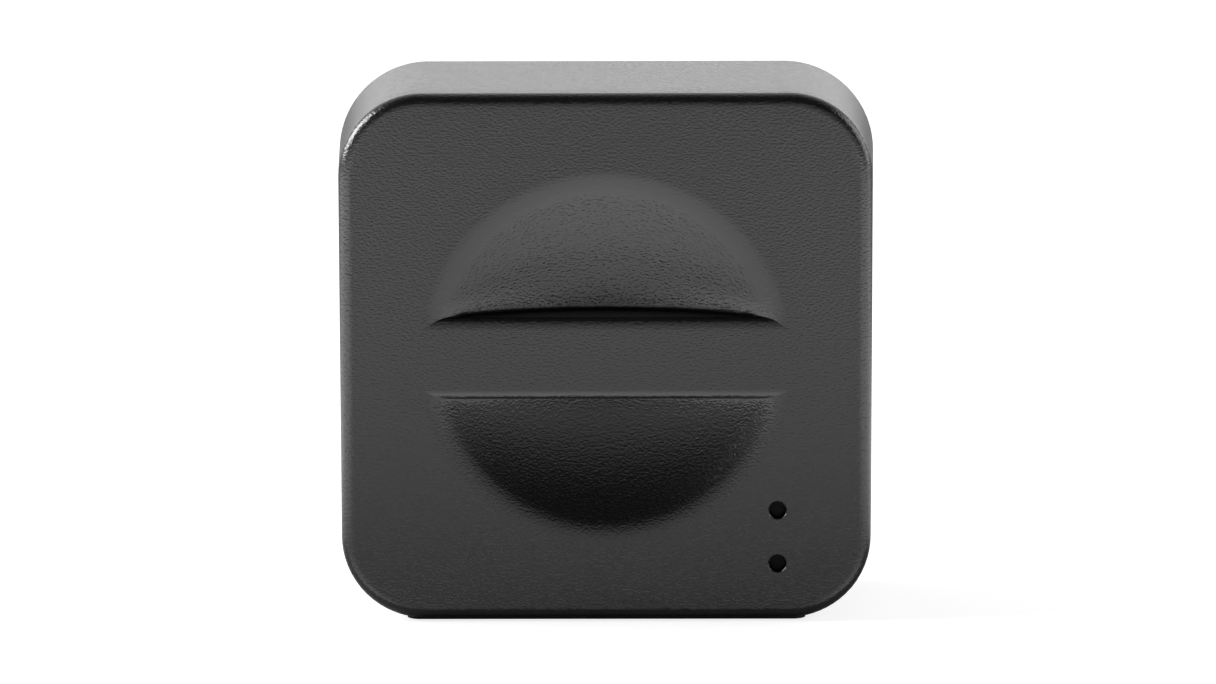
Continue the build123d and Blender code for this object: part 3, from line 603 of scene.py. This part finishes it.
# Chips and other moulded components, soldered to the boards: matt black epoxy with a fine eroded skin, and a dark
# ferrite body on the inductor.
chip_coat = Coat("chip_plastic", roughness=0.6)
chip_coat.colour(chip_coat.noise(2500), (0.012, 0.012, 0.013), (0.024, 0.024, 0.025))
chip_coat.relief(chip_coat.noise(4000), 0.01 * MM)
for name in ("processor", "memory_chip", "network_transformer", "radio_chip", "inductor", "chip_resistors"):
    coat_node(name, chip_coat)

# Folded and drawn sheet parts, tinned or nickel plated steel: both socket shells, the switch's frame, the radio can,
# the two antennas and the crystal's can. The plating is bright, with faint streaks along the strip it came from.
sheet_coat = Coat("sheet_steel", roughness=0.3, metallic=1.0)
sheet_coat.colour(sheet_coat.noise(600, stretch=(1.0, 8.0, 1.0)), (0.5, 0.5, 0.49), (0.66, 0.66, 0.64))
sheet_coat.gloss(sheet_coat.noise(1500, stretch=(1.0, 6.0, 1.0)), 0.22, 0.4)
for name in (
    "ethernet_shield",
    "usb_shell",
    "reset_switch_frame",
    "radio_can",
    "radio_antennas",
    "crystal",
):
    coat_node(name, sheet_coat)

# Contacts of both sockets and the header pins, stamped from bronze strip and plated with gold over nickel. They are
# pressed into their mouldings.
gold_coat = Coat("gold_plate", roughness=0.25, metallic=1.0)
gold_coat.colour(gold_coat.noise(1500), (0.72, 0.5, 0.16), (0.85, 0.63, 0.25))
gold_coat.gloss(gold_coat.noise(2500), 0.18, 0.32)
for name in ("ethernet_contacts", "usb_contacts", "header_pins"):
    coat_node(name, gold_coat)

# Heat sink, a length of finned extrusion, and the two capacitors' drawn cans: bare aluminium with fine lines along
# the direction of drawing. The heat sink sits on the pad over the main chip.
aluminium_coat = Coat("bare_aluminium", roughness=0.35, metallic=1.0)
drawn_lines = (1.0, 1.0, 12.0)
aluminium_coat.colour(aluminium_coat.noise(500, stretch=drawn_lines), (0.62, 0.63, 0.64), (0.78, 0.79, 0.8))
aluminium_coat.gloss(aluminium_coat.noise(900, stretch=drawn_lines), 0.28, 0.45)
for name in ("heat_sink", "capacitors"):
    coat_node(name, aluminium_coat)

# Thermal pad, soft grey silicone filled with ceramic powder. It is pressed between the main chip and the heat sink
# and holds by its own tack.
pad_coat = Coat("thermal_pad", roughness=0.75)
pad_coat.colour(pad_coat.noise(1500), (0.3, 0.32, 0.36), (0.4, 0.42, 0.46))
coat_node("thermal_pad", pad_coat)

# Indicator lights, two small parts on the front side of the board, under the light guide: clear resin cast over a
# pale carrier. They are off.
led_coat = Coat("led_lens", roughness=0.2)
led_coat.colour(led_coat.noise(2000), (0.6, 0.6, 0.52), (0.75, 0.75, 0.66))
coat_node("status_leds", led_coat)

# Floor: a wide white table. Its matt grey surface takes the lamps' light and the box's shadow. Over it lies a painted
# glow, light given off by a surface that is no lamp. To reflections and bounced light, the painted glow is zero close
# to the box as a painted shadow and fades out behind the box. It is stronger to the left and right of the box as
# painted pools of light, and weaker far off. The camera sees an even glow instead, so the table looks white, with the
# box's soft shadow.
TABLE_SIDE = 8.0
STAND_HALF_WIDTH = 38.0 * MM
STAND_HALF_DEPTH = 14.0 * MM
TABLE_SHOWN = 0.8
bpy.ops.mesh.primitive_plane_add(size=TABLE_SIDE, location=(0.0, 0.0, 0.0))
floor = bpy.context.object
floor.name = "floor"
table_material = bpy.data.materials.new("table")
table_material.use_nodes = True
table_tree = table_material.node_tree
table_tree.nodes.clear()


def node_sum(tree, operation, first, second=0.0):
    """One sum on a tree's nodes, from sockets or plain numbers."""
    node = tree.nodes.new("ShaderNodeMath")
    node.operation = operation
    for socket, value in zip(node.inputs, (first, second)):
        if isinstance(value, float):
            socket.default_value = value
        else:
            tree.links.new(value, socket)
    return node.outputs[0]


def node_ramp(tree, value, low, high, level=1.0):
    """Nothing below low, rising smoothly to a level at high."""
    node = tree.nodes.new("ShaderNodeMapRange")
    node.interpolation_type = "SMOOTHSTEP"
    node.inputs["From Min"].default_value = low
    node.inputs["From Max"].default_value = high
    node.inputs["To Max"].default_value = level
    tree.links.new(value, node.inputs["Value"])
    return node.outputs["Result"]


table_shape = table_tree.nodes.new("ShaderNodeNewGeometry")
table_place = table_tree.nodes.new("ShaderNodeSeparateXYZ")
table_tree.links.new(table_shape.outputs["Position"], table_place.inputs[0])
right, behind = table_place.outputs["X"], table_place.outputs["Y"]
left = node_sum(table_tree, "MULTIPLY", right, -1.0)
before = node_sum(table_tree, "MULTIPLY", behind, -1.0)
gap_squares = []
for along_side, half_side in ((right, STAND_HALF_WIDTH), (behind, STAND_HALF_DEPTH)):
    past_side = node_sum(table_tree, "SUBTRACT", node_sum(table_tree, "ABSOLUTE", along_side), half_side)
    past_side = node_sum(table_tree, "MAXIMUM", past_side, 0.0)
    gap_squares.append(node_sum(table_tree, "MULTIPLY", past_side, past_side))
gap = node_sum(table_tree, "SQRT", node_sum(table_tree, "ADD", *gap_squares))
# Painted light: the glow is zero close to the box as a painted shadow, drops off far away, gains painted pools of
# light to the left and right, and fades out behind the box
painted_glow_past_shadow = node_ramp(table_tree, gap, low=0.04, high=0.2, level=0.78)
painted_glow_falloff = node_ramp(table_tree, gap, low=0.3, high=0.5, level=0.32)
painted_light_left = node_ramp(table_tree, left, low=0.055, high=0.18, level=1.6)
painted_light_right = node_ramp(table_tree, right, low=0.055, high=0.14, level=1.2)
painted_glow_front_mask = node_ramp(table_tree, before, low=-0.2, high=-0.05)
painted_table_light = node_sum(table_tree, "SUBTRACT", painted_glow_past_shadow, painted_glow_falloff)
painted_table_light = node_sum(table_tree, "ADD", painted_table_light, painted_light_left)
painted_table_light = node_sum(table_tree, "ADD", painted_table_light, painted_light_right)
painted_table_light = node_sum(table_tree, "MULTIPLY", painted_table_light, painted_glow_front_mask)
table_path = table_tree.nodes.new("ShaderNodeLightPath")
table_seen = node_sum(
    table_tree, "MAXIMUM", table_path.outputs["Is Camera Ray"], table_path.outputs["Is Transmission Ray"]
)
table_shown = table_tree.nodes.new("ShaderNodeMix")
table_shown.inputs["B"].default_value = TABLE_SHOWN
# Emission that carries the painted glow to other rays and the even white glow to the camera
painted_table_glow = table_tree.nodes.new("ShaderNodeEmission")
table_matt = table_tree.nodes.new("ShaderNodeBsdfDiffuse")
table_matt.inputs["Color"].default_value = (0.4, 0.4, 0.4, 1.0)
table_add = table_tree.nodes.new("ShaderNodeAddShader")
table_out = table_tree.nodes.new("ShaderNodeOutputMaterial")
for source, target in (
    (table_seen, table_shown.inputs["Factor"]),
    (painted_table_light, table_shown.inputs["A"]),
    (table_shown.outputs["Result"], painted_table_glow.inputs["Strength"]),
    (table_matt.outputs["BSDF"], table_add.inputs[0]),
    (painted_table_glow.outputs["Emission"], table_add.inputs[1]),
    (table_add.outputs["Shader"], table_out.inputs["Surface"]),
):
    table_tree.links.new(source, target)
floor.data.materials.append(table_material)

# Light: a soft tent, bright low in front, dark above the camera, and bright again behind the box. The camera sees it
# as one pale tone, and reflections show that tone from the part of it that stands low behind the box.
TENT_GAIN = 4.0
PALE_TONE = 0.8
PALE_FROM = 152 / 180
PALE_TO = 168 / 180
world = bpy.data.worlds.new("tent")
bpy.context.scene.world = world
world.use_nodes = True
tent_tree = world.node_tree
tent_tree.nodes.clear()
tent_place = tent_tree.nodes.new("ShaderNodeTexCoord")
tent_parts = tent_tree.nodes.new("ShaderNodeSeparateXYZ")
tent_tree.links.new(tent_place.outputs["Generated"], tent_parts.inputs[0])
tent_forward = node_sum(tent_tree, "MULTIPLY", tent_parts.outputs["Y"], -1.0)
tent_angle = node_sum(tent_tree, "ARCTAN2", tent_parts.outputs["Z"], tent_forward)
tent_share = node_sum(tent_tree, "DIVIDE", tent_angle, math.pi)
tent_ramp = tent_tree.nodes.new("ShaderNodeValToRGB")
# Degrees up from the front horizon over the top to the rear horizon, with the tent's brightness there
tent_bands = (
    (0, 0.66),
    (12, 0.68),
    (20, 0.72),
    (28, 0.38),
    (36, 0.1),
    (50, 0.03),
    (70, 0.05),
    (100, 0.12),
    (112, 0.45),
    (122, 0.6),
    (134, 0.9),
    (146, 0.8),
    (158, 0.9),
    (170, 1.5),
    (180, 0.9),
)
tent_stops = tent_ramp.color_ramp.elements
tent_stops[0].position, tent_stops[1].position = 0.0, 1.0
for degrees_up, level in tent_bands[1:-1]:
    tent_stops.new(degrees_up / 180)
for stop, (degrees_up, level) in zip(tent_stops, tent_bands):
    stop.color = (level / TENT_GAIN, level / TENT_GAIN, level / TENT_GAIN, 1.0)
tent_gain = tent_tree.nodes.new("ShaderNodeVectorMath")
tent_gain.operation = "SCALE"
tent_gain.inputs["Scale"].default_value = TENT_GAIN
tent_path = tent_tree.nodes.new("ShaderNodeLightPath")
tent_behind = node_ramp(tent_tree, tent_share, low=PALE_FROM, high=PALE_TO)
tent_mirrored = node_sum(tent_tree, "MULTIPLY", tent_path.outputs["Is Glossy Ray"], tent_behind)
tent_seen = node_sum(
    tent_tree, "MAXIMUM", tent_path.outputs["Is Camera Ray"], tent_path.outputs["Is Transmission Ray"]
)
tent_shown = node_sum(tent_tree, "MAXIMUM", tent_seen, tent_mirrored)
tent_lit = tent_tree.nodes.new("ShaderNodeBackground")
tent_pale = tent_tree.nodes.new("ShaderNodeBackground")
tent_pale.inputs["Color"].default_value = (PALE_TONE, PALE_TONE, PALE_TONE, 1.0)
tent_choose = tent_tree.nodes.new("ShaderNodeMixShader")
tent_out = tent_tree.nodes.new("ShaderNodeOutputWorld")
for source, target in (
    (tent_share, tent_ramp.inputs["Fac"]),
    (tent_ramp.outputs["Color"], tent_gain.inputs[0]),
    (tent_gain.outputs["Vector"], tent_lit.inputs["Color"]),
    (tent_shown, tent_choose.inputs[0]),
    (tent_lit.outputs[0], tent_choose.inputs[1]),
    (tent_pale.outputs[0], tent_choose.inputs[2]),
    (tent_choose.outputs[0], tent_out.inputs["Surface"]),
):
    tent_tree.links.new(source, target)


# Two soft boxes beside the box: a strong one at the left, that draws the bright line down the rolled edge, and a
# weaker, taller one at the right.
def area_lamp(name, width, height, power, place, turn):
    """A rectangular lamp: its sides and place in metres, its power in watts and its turn in degrees."""
    lamp_data = bpy.data.lights.new(name, "AREA")
    lamp_data.shape = "RECTANGLE"
    lamp_data.size = width
    lamp_data.size_y = height
    lamp_data.energy = power
    lamp = bpy.data.objects.new(name, lamp_data)
    bpy.context.scene.collection.objects.link(lamp)
    lamp.location = place
    lamp.rotation_euler = [math.radians(part) for part in turn]
    return lamp


area_lamp("left_softbox", width=0.8, height=0.7, power=25.0, place=(-1.1, 0.15, 0.65), turn=(66.0, 0.0, -85.0))
area_lamp("right_softbox", width=0.8, height=0.9, power=6.0, place=(1.1, 0.15, 0.5), turn=(66.0, 0.0, 85.0))

# Two wide strips: one low behind the box, whose sheen lies along its top side, and one let into the table in front
# with a grid over it, so that it lights upwards only and reaches the hollow above the bar but not the flat face.
rear_strip = area_lamp(
    "rear_strip", width=2.6, height=0.26, power=1.6, place=(0.0, 1.3, 0.3), turn=(-90.0, 0.0, 0.0)
)
table_strip = area_lamp(
    "table_strip", width=0.2, height=0.19, power=0.138, place=(0.0, -0.114, 0.4 * MM), turn=(180.0, 0.0, 0.0)
)
for strip, grid_angle in ((rear_strip, 180.0), (table_strip, 151.0)):
    strip.data.spread = math.radians(grid_angle)
    strip.visible_camera = False

# Camera, at the photograph's place: a long lens about 0.8 m from the box and 9.5 degrees above the middle of its
# face, with the small turn and roll that the photograph has. These angles are in radians.
EYE_RISE = 0.16581
EYE_DISTANCE = 817.9 * MM
EYE_RIGHT = 0.338 * MM
EYE_UP = 2.59 * MM
EYE_SWING = 0.0046
EYE_ROLL = -0.0023
backward = Vector((0.0, -math.cos(EYE_RISE), math.sin(EYE_RISE)))
upward = Vector((0.0, math.sin(EYE_RISE), math.cos(EYE_RISE)))
eye = backward * EYE_DISTANCE + upward * EYE_UP + Vector((EYE_RIGHT, 0.0, 0.0))
facing = Matrix((Vector((1, 0, 0)), upward, backward)).transposed().to_4x4()
camera_data = bpy.data.cameras.new("camera")
camera_data.sensor_width = 36.0
camera_data.lens = 161.0
camera_data.clip_start = 0.05
camera = bpy.data.objects.new("camera", camera_data)
bpy.context.scene.collection.objects.link(camera)
camera.matrix_world = (
    Matrix.Translation((0.0, FRONT_Y, CENTRE_Z))
    @ Matrix.Rotation(EYE_SWING, 4, "Z")
    @ Matrix.Translation(eye)
    @ facing
    @ Matrix.Rotation(EYE_ROLL, 4, "Z")
)
bpy.context.scene.camera = camera
bpy.context.scene.view_settings.view_transform = "Standard"
